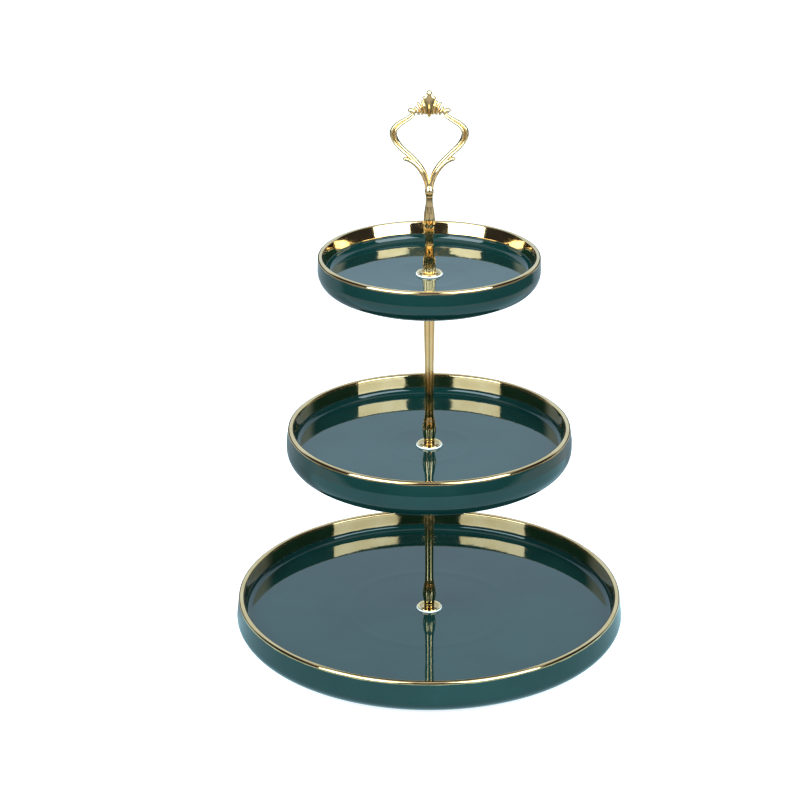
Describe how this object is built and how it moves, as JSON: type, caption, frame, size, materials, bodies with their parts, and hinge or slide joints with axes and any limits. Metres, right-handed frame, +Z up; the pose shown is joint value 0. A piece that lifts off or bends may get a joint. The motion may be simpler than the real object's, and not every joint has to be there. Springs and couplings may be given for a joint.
{
  "type": "tiered cake stand",
  "caption": "Tiered cake stand: round glazed plates with gold rims on a screwed gold stem, topped by a crown-shaped loop handle with a leaf crest.",
  "frame": {"origin": "on the table, under the centre of the bottom plate's foot ring", "axes": "+Z up the stem, +X across the crown handle's loop, so the loop lies in the XZ plane"},
  "size_m": [0.2728, 0.2728, 0.3935],
  "materials": {
    "green_glaze": "deep green gloss glaze with a gold lustre band over the rim",
    "gold_plate": "polished gold plating",
    "white_washer": "soft white plastic",
    "zinc_steel": "zinc-plated steel"
  },
  "bodies": {
    "base": {"bottom_plate": "green_glaze"},
    "stem": {"lower_rod": "gold_plate", "upper_rod": "gold_plate", "bottom_upper_disc": "gold_plate", "middle_upper_disc": "gold_plate", "middle_lower_disc": "gold_plate", "top_lower_disc": "gold_plate", "bottom_upper_gasket": "white_washer", "bottom_lower_gasket": "white_washer", "middle_upper_gasket": "white_washer", "middle_lower_gasket": "white_washer", "top_upper_gasket": "white_washer", "top_lower_gasket": "white_washer", "lower_stud": "zinc_steel", "upper_stud": "zinc_steel", "base_screw": "zinc_steel", "base_metal_washer": "zinc_steel"},
    "middle_tier": {"middle_plate": "green_glaze"},
    "top_tier": {"top_plate": "green_glaze"},
    "handle_seat": {"handle_disc": "gold_plate"},
    "handle": {"crown_handle": "gold_plate"}
  },
  "joints": [
    {"name": "stem_turn", "type": "hinge", "parent": "base", "child": "stem", "pos_m": [0, 0, 0.0162], "axis": [0, 0, 1], "continuous": true},
    {"name": "middle_plate_turn", "type": "hinge", "parent": "stem", "child": "middle_tier", "pos_m": [0, 0, 0.1421], "axis": [0, 0, 1], "continuous": true},
    {"name": "top_plate_turn", "type": "hinge", "parent": "stem", "child": "top_tier", "pos_m": [0, 0, 0.2668], "axis": [0, 0, 1], "continuous": true},
    {"name": "handle_lift", "type": "slide", "parent": "stem", "child": "handle_seat", "axis": [0, 0, 1], "range_m": [0, 0.0078]},
    {"name": "handle_unscrew", "type": "hinge", "parent": "handle_seat", "child": "handle", "pos_m": [0, 0, 0.2682], "axis": [0, 0, 1], "range_deg": [0, 3510]}
  ],
  "couplings": [
    {"joint": "handle_unscrew", "follows": "handle_lift", "rad_per_m": 7854}
  ]
}
